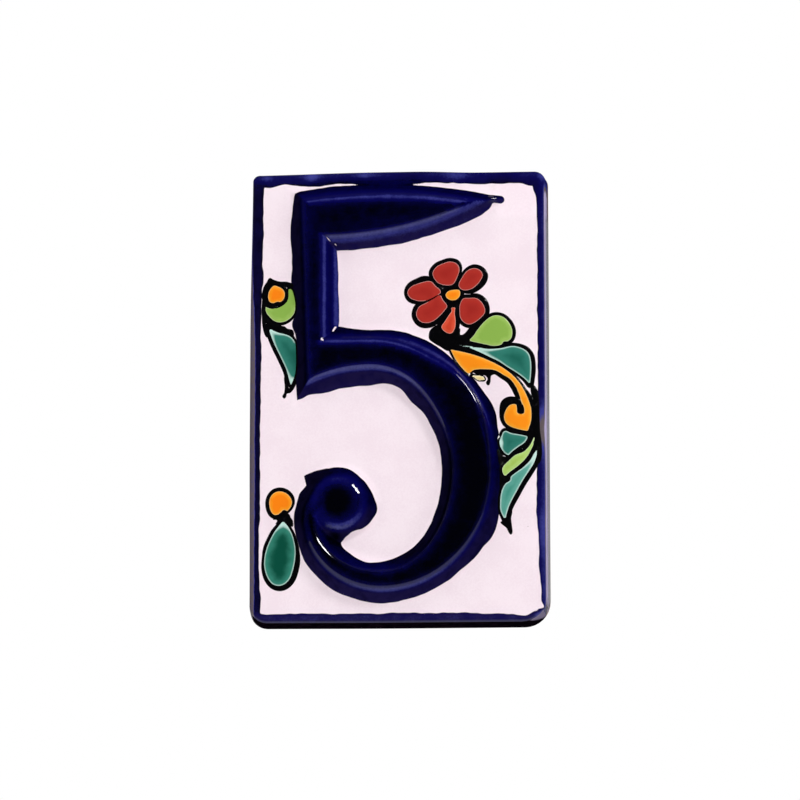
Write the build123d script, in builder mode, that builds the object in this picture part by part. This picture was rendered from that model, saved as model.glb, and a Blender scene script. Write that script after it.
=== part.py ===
"""House number tile: one pressed earthenware plaque with the figure 5 standing up from its face.

Millimetres. The tile hangs on a wall: +Z is up, the face looks along -Y, and the origin is
the middle of the flat back, where the tile is bedded against the wall.
"""

from build123d import *
import math
import os

# Tile blank, measured over its back, which is the largest section
tile_width = 71.6
tile_height = 110.0
tile_thickness = 8.0
side_draft = 3.0
corner_radius = 2.6
rim_radius = 1.1
back_edge_break = 0.5

# Keying grooves pressed into the back for the mortar
groove_count = 6
groove_pitch = 16.0
groove_width = 6.0
groove_depth = 0.8
groove_side_margin = 8.0

# Relief: the figure's height, the plan run of its sloping sides, and the rounding at top and foot
relief_height = 4.2
relief_run = 2.0
shoulder_radius = 1.8
shoulder_steps = 4
foot_radius = 0.8
foot_steps = 2

# Margins between the flat top of the figure and the edges of the tile
left_margin = 13.7
right_margin = 14.2
top_margin = 7.1
bottom_margin = 8.8

# Bar across the top, tapering to a point on the right
bar_depth = 9.3
bar_corner_drop = 1.1
bar_crest_reach = 18.1
bar_tip_setback = 3.7
bar_tip_drop = 2.0
bar_tip_lean = 12.0
bar_tip_flare = 2.2

# Stem on the left, ending below in a pointed heel
stem_width = 4.1
stem_gap = 25.8
heel_inset = 1.6
heel_drop = 3.2
heel_slope = 18.0

# Bowl: width of its flat top where it arches, at its fullest, along the bottom and in the curl
arch_width = 5.9
bowl_width = 7.7
bottom_width = 3.0
curl_width = 1.2
arch_reach = 11.5
bowl_drop = 31.3
bottom_reach = 25.1
curl_inset = 0.9
curl_rise = 16.7

# Knob that the curl winds into, and how far the end of the curl tucks under its top
knob_radius = 5.4
knob_reach = 8.1
knob_rise = 20.1
knob_tuck = 2.4

# Places on the face, worked out from the sizes above
figure_left = left_margin - tile_width / 2
figure_right = tile_width / 2 - right_margin
figure_top = tile_height / 2 - top_margin
figure_bottom = bottom_margin - tile_height / 2
bar_bottom = figure_top - bar_depth
stem_right = figure_left + stem_width
bowl_top = bar_bottom - stem_gap
bowl_middle = bowl_top - bowl_drop
arch_x = stem_right + arch_reach
bottom_x = figure_right - bottom_reach
curl_left = figure_left + curl_inset
curl_z = figure_bottom + curl_rise
knob_x = figure_left + knob_reach
knob_z = figure_bottom + knob_rise


def side_profile():
    """Lists the levels of the figure's side, from the foot to the top, as (outset, height)."""
    slope = math.atan2(relief_height, relief_run)
    foot_corner = relief_run + shoulder_radius * math.tan(slope / 2)
    foot_edge = foot_corner + foot_radius * math.tan(slope / 2)
    levels = []
    for step in range(foot_steps + 1):
        turn = slope * step / foot_steps
        levels.append((foot_edge - foot_radius * math.sin(turn), foot_radius * (1 - math.cos(turn))))
    for step in range(shoulder_steps + 1):
        turn = slope * (1 - step / shoulder_steps)
        levels.append((shoulder_radius * math.sin(turn), relief_height - shoulder_radius * (1 - math.cos(turn))))
    return levels


def figure_outline(outset):
    """Draws the closed outline of the figure's flat top, moved outwards by the given distance."""
    lean = math.radians(bar_tip_lean)
    tip_run = outset * bar_tip_flare
    tip_x = figure_right - bar_tip_setback + tip_run * math.cos(lean)
    tip_z = figure_top - bar_tip_drop + tip_run * math.sin(lean)
    slope = math.radians(heel_slope)
    heel_run = outset * (1 + math.sin(slope)) / math.cos(slope)

    corner = (figure_left - outset, figure_top - bar_corner_drop + outset)
    crest = (figure_left + bar_crest_reach, figure_top + outset)
    tip = (tip_x, tip_z)
    armpit = (stem_right + outset, bar_bottom - outset)
    crook = (stem_right + outset, bowl_top + outset)
    heel = (figure_left + heel_inset - outset, bowl_top - arch_width - heel_drop - heel_run)

    outer_top = bowl_top + outset
    outer_right = figure_right + outset
    outer_bottom = figure_bottom - outset
    outer_left = curl_left - outset
    curl_end = knob_z + knob_radius + outset - knob_tuck
    inner_top = bowl_top - arch_width - outset
    inner_right = figure_right - bowl_width - outset
    inner_bottom = figure_bottom + bottom_width + outset
    inner_left = curl_left + curl_width + outset

    # Bar and stem
    ThreePointArc(corner, crest, tip)
    TangentArc(armpit, tip, tangent=(1, 0))
    Line(armpit, crook)
    Line(crook, (arch_x, outer_top))

    # Outside of the bowl, down to the bottom, round the curl and in under the knob
    EllipticalCenterArc((arch_x, bowl_middle), outer_right - arch_x, outer_top - bowl_middle, 0)
    EllipticalCenterArc((bottom_x, bowl_middle), outer_right - bottom_x, bowl_middle - outer_bottom, 270)
    EllipticalCenterArc((bottom_x, curl_z), bottom_x - outer_left, curl_z - outer_bottom, 180)
    EllipticalCenterArc((knob_x, curl_z), knob_x - outer_left, curl_end - curl_z, 90)
    Polyline((knob_x, curl_end), (knob_x, knob_z), (inner_left, curl_z))

    # Inside of the bowl, back up to the arch and along to the heel
    EllipticalCenterArc((bottom_x, curl_z), bottom_x - inner_left, curl_z - inner_bottom, 180)
    EllipticalCenterArc((bottom_x, bowl_middle), inner_right - bottom_x, bowl_middle - inner_bottom, 270)
    EllipticalCenterArc((arch_x, bowl_middle), inner_right - arch_x, inner_top - bowl_middle, 0)
    TangentArc((arch_x, inner_top), heel, tangent=(-1, 0))
    Line(heel, corner)


with BuildPart() as number_tile:
    # Tile blank with drafted sides and a rolled front rim
    with BuildSketch(Plane.XZ):
        RectangleRounded(tile_width, tile_height, corner_radius)
    extrude(amount=tile_thickness, taper=side_draft)
    fillet(number_tile.faces().sort_by(Axis.Y)[0].edges(), rim_radius)
    chamfer(number_tile.faces().sort_by(Axis.Y)[-1].edges(), back_edge_break)

    # Keying grooves across the back
    with BuildSketch(Plane.XZ):
        with GridLocations(0, groove_pitch, 1, groove_count):
            Rectangle(tile_width - 2 * groove_side_margin, groove_width)
    extrude(amount=groove_depth, mode=Mode.SUBTRACT)

    # Stroke of the figure, sloping in from its foot to its flat top
    for outset, height in side_profile():
        with BuildSketch(Plane.XZ.offset(tile_thickness + height)):
            with BuildLine():
                figure_outline(outset)
            make_face()
    loft(ruled=True)

    # Knob at the end of the curl
    for outset, height in side_profile():
        with BuildSketch(Plane.XZ.offset(tile_thickness + height)):
            with Locations((knob_x, knob_z)):
                Circle(knob_radius + outset)
    loft(ruled=True)

print("valid", number_tile.part.is_valid, "solids", len(number_tile.solids()), "faces", len(number_tile.faces()))

number_tile.part.label = "number_tile"
os.makedirs("parts", exist_ok=True)
export_step(number_tile.part, "parts/number_tile.step")
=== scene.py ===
"""House number tile: pressed earthenware, painted and glazed, with the figure 5 raised from its face.

Sizes are millimetres: x runs to the reader's right, z runs up, and the face looks along -y. Each mesh
is scaled to metres when it is finished.
"""

import bmesh
import bpy
import math
from mathutils import Matrix, Vector, noise
from mathutils.bvhtree import BVHTree
from mathutils.geometry import delaunay_2d_cdt, interpolate_bezier
from mathutils.kdtree import KDTree


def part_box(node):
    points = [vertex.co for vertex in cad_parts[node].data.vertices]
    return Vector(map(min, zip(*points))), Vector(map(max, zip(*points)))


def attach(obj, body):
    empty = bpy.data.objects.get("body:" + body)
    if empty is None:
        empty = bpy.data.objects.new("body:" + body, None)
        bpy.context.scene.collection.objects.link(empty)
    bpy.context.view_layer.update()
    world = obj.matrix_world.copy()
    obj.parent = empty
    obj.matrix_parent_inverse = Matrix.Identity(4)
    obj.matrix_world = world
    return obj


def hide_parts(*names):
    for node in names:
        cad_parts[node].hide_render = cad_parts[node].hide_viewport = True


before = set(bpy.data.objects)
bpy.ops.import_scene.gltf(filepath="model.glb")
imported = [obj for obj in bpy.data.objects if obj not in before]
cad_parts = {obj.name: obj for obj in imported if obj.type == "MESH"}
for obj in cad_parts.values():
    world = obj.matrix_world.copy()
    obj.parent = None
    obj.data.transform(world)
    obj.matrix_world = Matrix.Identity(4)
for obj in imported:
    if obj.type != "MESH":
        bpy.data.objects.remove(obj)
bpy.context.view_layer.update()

# Tile blank: earthenware pressed into a mould, so its sides draft in towards the face and its rim
# rolls over. The back is bare clay with shallow grooves that key the mortar.
mm = 0.001
blank_low, blank_high = (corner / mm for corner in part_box("number_tile"))
half_width = blank_high.x
half_height = blank_high.z
relief_height = 4.2
face_y = blank_low.y + relief_height
corner_radii = {(-1, -1): 4.2, (-1, 1): 1.6, (1, -1): 6.0, (1, 1): 2.6}
corner_steps = 8
rim_radius = 1.1
rim_steps = 7
side_lean = 0.42
back_break = 0.5
groove_pitch = 16.0
groove_width = 6.0
groove_depth = 0.8
groove_side_margin = 8.0
groove_end = half_width - groove_side_margin
grooves_each_way = 3
rim_spacing = 1.1


def parts_of(geometry, kind):
    """Picks the vertices, edges or faces out of what a bmesh operator gives back."""
    return [element for element in geometry if isinstance(element, kind)]


def cut_back(place, normal):
    """Cuts a line across the back of the blank."""
    whole = tile.verts[:] + tile.edges[:] + tile.faces[:]
    bmesh.ops.bisect_plane(tile, geom=whole, plane_co=place, plane_no=normal)


tile = bmesh.new()
bmesh.ops.create_grid(tile, x_segments=1, y_segments=1, size=1.0)
bmesh.ops.scale(tile, vec=(half_width - back_break, half_height - back_break, 1), verts=tile.verts)
for corner in tile.verts[:]:
    radius = corner_radii[round(math.copysign(1, corner.co.x)), round(math.copysign(1, corner.co.y))]
    bmesh.ops.bevel(tile, geom=[corner], offset=radius, offset_type="OFFSET",
                    segments=corner_steps, profile=0.5, affect="VERTICES", material=-1)
bmesh.ops.rotate(tile, matrix=Matrix.Rotation(math.radians(90), 3, "X"), verts=tile.verts)

for side in (-1, 1):
    cut_back((side * groove_end, 0, 0), (1, 0, 0))
    for number in range(grooves_each_way):
        middle = side * (number + 0.5) * groove_pitch
        cut_back((0, 0, middle - groove_width / 2), (0, 0, 1))
        cut_back((0, 0, middle + groove_width / 2), (0, 0, 1))

groove_floors = []
for face in tile.faces:
    centre = face.calc_center_median()
    off_middle = abs(centre.z / groove_pitch % 1 - 0.5) * groove_pitch
    inside = abs(centre.x) < groove_end and abs(centre.z) < grooves_each_way * groove_pitch
    if inside and off_middle < groove_width / 2:
        groove_floors.append(face)
sunk = bmesh.ops.extrude_face_region(tile, geom=groove_floors)["geom"]
bmesh.ops.translate(tile, vec=(0, -groove_depth, 0), verts=parts_of(sunk, bmesh.types.BMVert))
bmesh.ops.delete(tile, geom=groove_floors, context="FACES")

for edge in [edge for edge in tile.edges if edge.is_boundary]:
    cuts = int(edge.calc_length() / rim_spacing)
    if cuts:
        bmesh.ops.subdivide_edges(tile, edges=[edge], cuts=cuts)
rim_edges = [edge for edge in tile.edges if edge.is_boundary]

stations = [(0.0, -back_break)]
for step in range(rim_steps + 1):
    turn = math.radians(90 * step / rim_steps)
    rolled_in = side_lean + rim_radius * (1 - math.cos(turn))
    stations.append((rolled_in, face_y + rim_radius * (1 - math.sin(turn))))
inset = back_break
for next_inset, y in stations:
    grown = bmesh.ops.extrude_edge_only(tile, edges=rim_edges)["geom"]
    rim_verts = parts_of(grown, bmesh.types.BMVert)
    narrower = ((half_width - next_inset) / (half_width - inset), 1,
                (half_height - next_inset) / (half_height - inset))
    bmesh.ops.scale(tile, vec=narrower, verts=rim_verts)
    for vert in rim_verts:
        vert.co.y = y
    ends = set(rim_verts)
    rim_edges = [edge for edge in parts_of(grown, bmesh.types.BMEdge) if set(edge.verts) <= ends]
    inset = next_inset
rim_inset = inset

# Raised figure: part of the same pressing, with a flat top, sloping sides, soft shoulders and a small
# rounding at the foot. A bar runs to a point, the stem ends in a heel and the bowl curls into a knob.
figure_left = -22.1
figure_right = 21.6
figure_top = 47.9
figure_bottom = -46.2
shoulder_start = -0.7
foot_edge = 4.1
full_side = (18.0, 0.5)
full_reach = 9.0
full_outset = 1.8
full_rise = (-3.0, 0.0)
full_fall = (1.0, 2.6)

bar_depth = 9.3
bar_corner_drop = 1.1
bar_crest_reach = 18.1
bar_tip_setback = 3.7
bar_tip_drop = 2.0
bar_tip_lean = math.radians(12)
bar_tip_flare = 2.2
stem_width = 4.1
stem_gap = 25.8
heel_inset = 1.6
heel_drop = 3.2
heel_slope = math.radians(18)
arch_width = 5.9
arch_reach = 11.5
bowl_width = 7.7
bowl_drop = 31.3
bottom_width = 3.0
bottom_reach = 25.1
curl_width = 1.2
curl_inset = 0.9
curl_rise = 16.7
knob_radius = 5.4
knob_reach = 8.1
knob_rise = 20.1
knob_tuck = 2.4

bar_bottom = figure_top - bar_depth
bar_crest_x = figure_left + bar_crest_reach
bar_tip = (figure_right - bar_tip_setback, figure_top - bar_tip_drop)
stem_right = figure_left + stem_width
bowl_top = bar_bottom - stem_gap
bowl_middle = bowl_top - bowl_drop
arch_x = stem_right + arch_reach
heel_x = figure_left + heel_inset
heel_z = bowl_top - arch_width - heel_drop
bottom_x = figure_right - bottom_reach
curl_left = figure_left + curl_inset
curl_z = figure_bottom + curl_rise
knob_x = figure_left + knob_reach
knob_z = figure_bottom + knob_rise


def straight(start, end, count):
    """Points from start to end."""
    first, last = Vector(start), Vector(end)
    return [tuple(first.lerp(last, step / count)) for step in range(count + 1)]


def bow(start, end, count):
    """Points of the arc that leaves start level and runs to end."""
    run = end[0] - start[0]
    turn = 2 * math.atan2(end[1] - start[1], abs(run))
    radius = abs(run) / math.sin(turn)
    points = []
    for step in range(count + 1):
        angle = turn * step / count
        reach = math.copysign(radius * math.sin(angle), run)
        points.append((start[0] + reach, start[1] + radius * (1 - math.cos(angle))))
    return points


def quarter(centre, across, up, first, last, count):
    """Points of an ellipse's arc between two angles in degrees."""
    points = []
    for step in range(count + 1):
        angle = math.radians(first + (last - first) * step / count)
        points.append((centre[0] + across * math.cos(angle), centre[1] + up * math.sin(angle)))
    return points


def figure_ring(outset):
    """Points round the outline of the figure's flat top, moved outwards by the given distance.

    Each stretch of the outline ends in the number of steps that it is cut into.
    """
    flare = outset * bar_tip_flare
    corner = (figure_left - outset, figure_top - bar_corner_drop + outset)
    crest = (bar_crest_x, figure_top + outset)
    tip = (bar_tip[0] + flare * math.cos(bar_tip_lean), bar_tip[1] + flare * math.sin(bar_tip_lean))
    armpit = (stem_right + outset, bar_bottom - outset)
    crook = (stem_right + outset, bowl_top + outset)
    heel = (heel_x - outset, heel_z - outset * (1 + math.sin(heel_slope)) / math.cos(heel_slope))
    outer_top = bowl_top + outset
    outer_right = figure_right + outset
    outer_bottom = figure_bottom - outset
    outer_left = curl_left - outset
    curl_end = knob_z + knob_radius + outset - knob_tuck
    inner_top = bowl_top - arch_width - outset
    inner_right = figure_right - bowl_width - outset
    inner_bottom = figure_bottom + bottom_width + outset
    inner_left = curl_left + curl_width + outset
    upper, lower, curl = (arch_x, bowl_middle), (bottom_x, bowl_middle), (bottom_x, curl_z)
    stretches = (
        bow(crest, corner, 40)[::-1],
        bow(crest, tip, 50),
        bow(armpit, tip, 80)[::-1],
        straight(armpit, crook, 50),
        straight(crook, (arch_x, outer_top), 24),
        quarter(upper, outer_right - arch_x, outer_top - bowl_middle, 90, 0, 96),
        quarter(lower, outer_right - bottom_x, bowl_middle - outer_bottom, 360, 270, 84),
        quarter(curl, bottom_x - outer_left, curl_z - outer_bottom, 270, 180, 60),
        quarter((knob_x, curl_z), knob_x - outer_left, curl_end - curl_z, 180, 90, 24),
        straight((knob_x, curl_end), (knob_x, knob_z), 8),
        straight((knob_x, knob_z), (inner_left, curl_z), 12),
        quarter(curl, bottom_x - inner_left, curl_z - inner_bottom, 180, 270, 48),
        quarter(lower, inner_right - bottom_x, bowl_middle - inner_bottom, 270, 360, 60),
        quarter(upper, inner_right - arch_x, inner_top - bowl_middle, 0, 90, 64),
        bow((arch_x, inner_top), heel, 36),
        straight(heel, corner, 90),
    )
    return [point for stretch in stretches for point in stretch[:-1]]


def drawn_field(outsets):
    """A sheet over the figure whose y at each place is how far that place lies outside the flat top."""
    sheet = bmesh.new()
    loop = []
    for outset in outsets:
        verts = [sheet.verts.new((x, outset, z)) for x, z in figure_ring(outset)]
        next_loop = [sheet.edges.new(pair) for pair in zip(verts, verts[1:] + verts[:1])]
        if loop:
            bmesh.ops.bridge_loops(sheet, edges=loop + next_loop)
        else:
            sheet.faces.new(verts)
        loop = next_loop
    tree = BVHTree.FromBMesh(sheet)
    sheet.free()
    return tree


def nearest_tree(points):
    """A tree that finds the nearest of some places on the face."""
    tree = KDTree(len(points))
    for number, (x, z) in enumerate(points):
        tree.insert((x, z, 0), number)
    tree.balance()
    return tree


def from_knob(x, z):
    """Distance of a place from the middle of the knob."""
    return math.hypot(x - knob_x, z - knob_z)


beyond_figure = 6
drawing = drawn_field(range(beyond_figure + 1))
top_edge = nearest_tree(figure_ring(0))
valley_softness = 0.7


def soft_least(first, second, softness):
    """The lesser of two values, with a soft change from one to the other."""
    overlap = max(softness - abs(first - second), 0)
    return min(first, second) - overlap ** 2 / (4 * softness)


def outset_at(x, z):
    """How far a place on the face lies outside the figure's flat top, and below nothing how far inside."""
    hit = drawing.ray_cast(Vector((x, -1, z)), Vector((0, 1, 0)))[0]
    stroke = beyond_figure if hit is None else hit.y
    if stroke < 0.001:
        stroke = -top_edge.find((x, z, 0))[2]
    return soft_least(stroke, from_knob(x, z) - knob_radius, valley_softness)


def eased(value, low, high):
    """A smooth rise from 0 to 1 as the value goes from low to high."""
    share = min(max((value - low) / (high - low), 0), 1)
    return share * share * (3 - 2 * share)


def bell(value, middle, width):
    """A soft rise to 1 and fall about a middle value."""
    return math.exp(-((value - middle) / width) ** 2)


def side_outset(x, z):
    """The outset that the figure's side has at a place, where the bowl's upper right stands fuller."""
    outset = outset_at(x, z)
    fuller = bell(math.hypot(x - full_side[0], z - full_side[1]), 0, full_reach)
    return outset - full_outset * fuller * eased(outset, *full_rise) * (1 - eased(outset, *full_fall))


def relief_at(x, z):
    """Height of the figure, falling softly from its flat top to the face."""
    return relief_height * (1 - eased(side_outset(x, z), shoulder_start, foot_edge))


def waver(x, z, waves):
    """A random rise and fall over the face, made of waves of (height, length, seed)."""
    return sum(height * noise.noise(Vector((x / length, z / length, seed)))
               for height, length, seed in waves)


def along_stroke(x, z, start, end):
    """Distance of a place from a straight stroke."""
    place, first, run = Vector((x, z)), Vector(start), Vector(end) - Vector(start)
    reached = min(max((place - first).dot(run) / run.length_squared, 0), 1)
    return (place - first - run * reached).length


def keep_apart(points, gap, taken):
    """Keeps those points that stand at least gap away from the ones taken before."""
    kept = []
    for x, z in points:
        column, row = math.floor(x), math.floor(z)
        near = [other for across in (-1, 0, 1) for up in (-1, 0, 1)
                for other in taken.get((column + across, row + up), ())]
        if all(math.hypot(x - other[0], z - other[1]) >= gap for other in near):
            taken.setdefault((column, row), []).append((x, z))
            kept.append((x, z))
    return kept


ring_outsets = (-0.8, -0.4, 0.0, 0.3, 0.6, 0.9, 1.2, 1.5, 1.8, 2.1, 2.4, 2.7, 3.0, 3.3, 3.6, 4.0)
ring_gap = 0.24
knob_steps = 96
fill_pitch = 0.75
fill_gap = 0.5
rim_clearance = 0.3
fired_share = 0.985
sway_waves = ((0.05, 13, 1.5), (0.015, 3.5, 4.5))
softening_passes = 4
knob_passes = 10
knob_dome = 0.16
knob_foot = 3.0
knob_margin = 2.0
flick_start = (21.0, 47.5)
flick_end = (24.6, 47.15)
flick_height = 0.4
flick_width = 0.9
flick_rows = (-1.0, -0.6, -0.3, 0.0, 0.3, 0.6, 1.0)
flick_overrun = 1.0
flick_steps = 18
bead = (23.0, 47.5)
bead_height = 0.35
bead_radius = 1.1
window_left, window_right = -32.75, 33.3
window_low, window_high = -52.3, 51.6
window_rows = (-0.6, -0.3, 0.0, 0.3, 0.6)
window_steps = 250
flat_width = half_width - rim_inset
flat_height = half_height - rim_inset

# The face is one sheet of triangles: points stand close along the figure's sides, round the white
# window's edge and under the flick of glaze, and wider apart on the flats.
taken = {}
keep_apart([(vert.co.x, vert.co.z) for vert in rim_verts], 0, taken)
figure_points = []
for outset in ring_outsets:
    figure_points += figure_ring(outset)
    radius = knob_radius + outset
    figure_points += quarter((knob_x, knob_z), radius, radius, 0, 360, knob_steps)
for rise in flick_rows:
    start = (flick_start[0], flick_start[1] + rise)
    end = (flick_end[0] + flick_overrun, flick_end[1] + rise)
    figure_points += straight(start, end, flick_steps)
for offset in window_rows:
    corners = [(window_left - offset, window_low - offset), (window_right + offset, window_low - offset),
               (window_right + offset, window_high + offset), (window_left - offset, window_high + offset)]
    for start, end in zip(corners, corners[1:] + corners[:1]):
        figure_points += straight(start, end, window_steps)
fill_points = []
for row in range(int(2 * flat_height / fill_pitch)):
    for column in range(int(2 * flat_width / fill_pitch)):
        x = (column + 0.5 + row % 2 / 2) * fill_pitch - flat_width
        fill_points.append((x, (row + 0.5) * fill_pitch - flat_height))
inner_points = keep_apart(figure_points, ring_gap, taken) + keep_apart(fill_points, fill_gap, taken)
inner_width = flat_width - rim_clearance
inner_height = flat_height - rim_clearance
inner_points = [(x, z) for x, z in inner_points if abs(x) < inner_width and abs(z) < inner_height]

rim_order = {vert: number for number, vert in enumerate(rim_verts)}
rim_pairs = [(rim_order[edge.verts[0]], rim_order[edge.verts[1]]) for edge in rim_edges]
plan = [Vector((vert.co.x, vert.co.z)) for vert in rim_verts] + [Vector(point) for point in inner_points]
plan_points, _, plan_faces, plan_sources, _, _ = delaunay_2d_cdt(plan, rim_pairs, [], 1, 1e-4)

face_verts = []
for point, sources in zip(plan_points, plan_sources):
    if sources and sources[0] < len(rim_verts):
        face_verts.append(rim_verts[sources[0]])
    else:
        x, z = point
        from_middle = from_knob(x, z)
        dome = knob_dome * min(from_middle / knob_radius, 1) ** 2
        dome *= 1 - eased(from_middle, knob_radius, knob_radius + knob_foot)
        height = relief_at(x, z) * (fired_share - dome)
        height += flick_height * bell(along_stroke(x, z, flick_start, flick_end), 0, flick_width)
        height += bead_height * bell(math.hypot(x - bead[0], z - bead[1]), 0, bead_radius)
        face_verts.append(tile.verts.new((x, face_y - height + waver(x, z, sway_waves), z)))
for corners in plan_faces:
    tile.faces.new([face_verts[corner] for corner in corners])
raised_verts = [vert for vert in face_verts if vert.link_faces and vert not in rim_order]
bmesh.ops.delete(tile, geom=[vert for vert in face_verts if not vert.link_faces], context="VERTS")
for _ in range(softening_passes):
    bmesh.ops.smooth_vert(tile, verts=raised_verts, factor=0.5, use_axis_y=True)
knob_edge = knob_radius + knob_margin
knob_verts = [vert for vert in raised_verts if from_knob(vert.co.x, vert.co.z) < knob_edge]
for _ in range(knob_passes):
    bmesh.ops.smooth_vert(tile, verts=knob_verts, factor=0.5, use_axis_y=True)
bmesh.ops.recalc_face_normals(tile, faces=tile.faces)
tile.normal_update()

# Painting on the tile: cobalt is laid by brush over the figure and round the rim, on a white ground.
# It runs thin over edges and lies thick and nearly black on the flats. Each vertex keeps how far it
# lies inside the painted part, how thin the colour lies with painted light and shade added, how much
# painted sheen and smear grey it, and how dull the glaze is.
paint_reach = 3.4
brush_waves = ((0.16, 4, 7.5), (0.08, 1.4, 9.5))
border_waves = ((0.12, 6, 2.5), (0.2, 1.9, 5.5))
bar_end = 22.9
bar_end_softness = 1.4
flick_paint = 1.0
window_corner = 0.5
facing_reach = 0.2
thinnest = 0.82
valley = (-14.6, -34.2)
valley_reach = 1.9
curl_bend = (-20.6, -32.2)
curl_bend_reach = 3.0
knob_nib = ((-22.3, -19.2), (-19.5, -18.1), (-16.5, -17.5), (-17.5, -21.0), (-21.6, -22.0))

# Each dab is (x, z, how much further the colour reaches there, how wide the dab is).
brush_dabs = (
    (-24.6, 49.0, -0.45, 4.5), (-25.4, 50.1, -0.9, 1.2), (17.0, 42.3, 0.6, 7.0), (5.0, 38.5, 0.2, 6.0),
    (-13.0, 35.3, -0.15, 1.6), (-14.0, 17.5, 0.3, 2.5), (-14.2, 31.0, 0.4, 4.5), (-14.2, 22.0, 0.5, 5.5),
    (20.0, 43.6, 0.25, 2.5), (19.5, 4.0, 0.35, 4.0), (-7.0, 15.8, -0.55, 4.0), (14.0, 7.5, -0.25, 3.0),
    (22.6, -3.3, 0.95, 4.6), (24.7, -17.0, -0.3, 4.5), (22.6, -33.0, 1.2, 4.8), (-5.0, -49.5, 0.35, 8.0),
    (-20.0, -42.0, 0.3, 4.0), (-14.5, -46.5, 0.3, 4.0), (2.0, -39.3, 0.25, 5.0), (-25.0, 17.2, 0.85, 1.7),
    (-24.3, 4.0, 0.4, 3.0), (-8.9, -19.5, -0.2, 2.0), (-23.3, -23.5, 0.5, 1.6), (-7.8, -21.4, -0.75, 4.0),
    (-5.0, -27.8, 0.5, 1.6), (-10.8, -32.4, -1.1, 2.8), (-13.6, -35.3, 0.6, 1.2), (-7.3, -39.9, -1.0, 3.6),
    (3.5, -1.7, 0.9, 3.2), (-6.8, 2.2, 1.2, 3.2), (18.6, -39.7, 0.3, 3.5), (-11.8, 1.7, 1.1, 3.2),
    (-17.0, 0.6, 1.35, 3.2), (-22.6, -0.9, 0.4, 1.0), (-24.0, 10.0, -0.25, 4.0), (-25.2, 27.0, 0.65, 4.0),
    (-25.4, 38.0, 0.6, 6.0), (9.2, -6.0, 0.35, 4.0),
)
border_dabs = (
    (-2.0, 51.6, 1.1, 6.0), (-19.5, 51.6, 0.4, 3.5), (-27.5, 51.8, -0.35, 2.0), (-31.4, 51.4, 0.4, 1.6),
    (-32.5, 29.0, 0.5, 3.0), (-32.6, 6.0, 0.2, 6.0), (-32.8, -37.0, -0.4, 6.0), (-32.6, -48.5, 0.15, 2.5),
    (32.4, 50.8, 1.0, 2.2), (20.0, 51.8, 0.25, 6.0), (33.0, -26.0, 0.45, 9.0), (34.0, -48.0, -0.5, 5.0),
    (25.0, -52.4, -0.3, 6.0), (32.6, -51.9, 0.65, 1.5), (-32.6, 21.0, 0.25, 4.0), (-32.6, 42.0, 0.35, 7.0),
    (34.3, -51.0, -0.85, 0.9), (29.6, -53.0, -0.5, 2.4),
)
pale_spots = (
    (-31.8, 53.2, 0.3, 1.3), (-20.6, 53.3, 0.4, 1.8), (-8.0, 53.4, 0.25, 2.5), (3.0, 53.2, -0.2, 3.0),
    (14.0, 53.4, 0.2, 3.0), (25.0, 53.0, -0.2, 3.0), (34.6, -8.8, 0.95, 4.6), (34.3, -33.0, 0.2, 5.0),
    # The last spot pales the rim at the bottom right corner as painted sheen.
    (34.4, -54.0, 0.7, 1.6),
)

# Each nick is a short white stroke left in the cobalt by the armpit and the crook, a painted highlight for
# the glints there: its start, its end and half its width.
glint_nicks = (
    ((-16.8, 38.0), (-15.9, 36.9), 0.08), ((-14.9, 36.5), (-14.4, 36.2), 0.1),
    ((-14.8, 16.5), (-15.4, 15.4), 0.2), ((-17.85, 12.95), (-17.55, 12.65), 0.25),
)


def dabbed(x, z, dabs):
    """How much further than usual the brush reached at a place."""
    return sum(extra * math.exp(-((x - dab_x) ** 2 + (z - dab_z) ** 2) / spread ** 2)
               for dab_x, dab_z, extra, spread in dabs)


def within(x, z, corners):
    """How far a place lies inside a shape whose corners run clockwise."""
    depths = []
    for start, end in zip(corners, corners[1:] + corners[:1]):
        along = (Vector(end) - Vector(start)).normalized()
        depths.append((x - start[0]) * along.y - (z - start[1]) * along.x)
    return min(depths)


def paint_depth(x, z):
    """How far a place lies inside the cobalt, and below nothing how far it lies out on the white."""
    on_figure = paint_reach + waver(x, z, brush_waves) + dabbed(x, z, brush_dabs) - outset_at(x, z)
    if z > bowl_top:
        on_figure = soft_least(on_figure, bar_end - x, bar_end_softness)
    on_flick = flick_paint - along_stroke(x, z, flick_start, flick_end)
    on_figure = max(on_figure, on_flick, within(x, z, knob_nib))
    # Painted highlights: the nicks leave short white strokes in the cobalt.
    for start, end, radius in glint_nicks:
        on_figure = min(on_figure, along_stroke(x, z, start, end) - radius)
    across = abs(x - (window_left + window_right) / 2) - (window_right - window_left) / 2 + window_corner
    up = abs(z - (window_low + window_high) / 2) - (window_high - window_low) / 2 + window_corner
    on_border = math.hypot(max(across, 0), max(up, 0)) + min(max(across, up), 0) - window_corner
    return max(on_figure, on_border + dabbed(x, z, border_dabs) + waver(x, z, border_waves))


def side_facing(x, z):
    """The way that the figure's side faces at a place: to the right, and up."""
    to_right = outset_at(x + facing_reach, z) - outset_at(x - facing_reach, z)
    upwards = outset_at(x, z + facing_reach) - outset_at(x, z - facing_reach)
    return Vector((to_right, upwards)).normalized()


def in_shaded_valley(x, z):
    """How near a place is to the valley between the knob and the bowl's end, from 0 to 1, where painted
    shade darkens the cobalt.
    """
    return bell(math.hypot(x - valley[0], z - valley[1]), 0, valley_reach)


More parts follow.
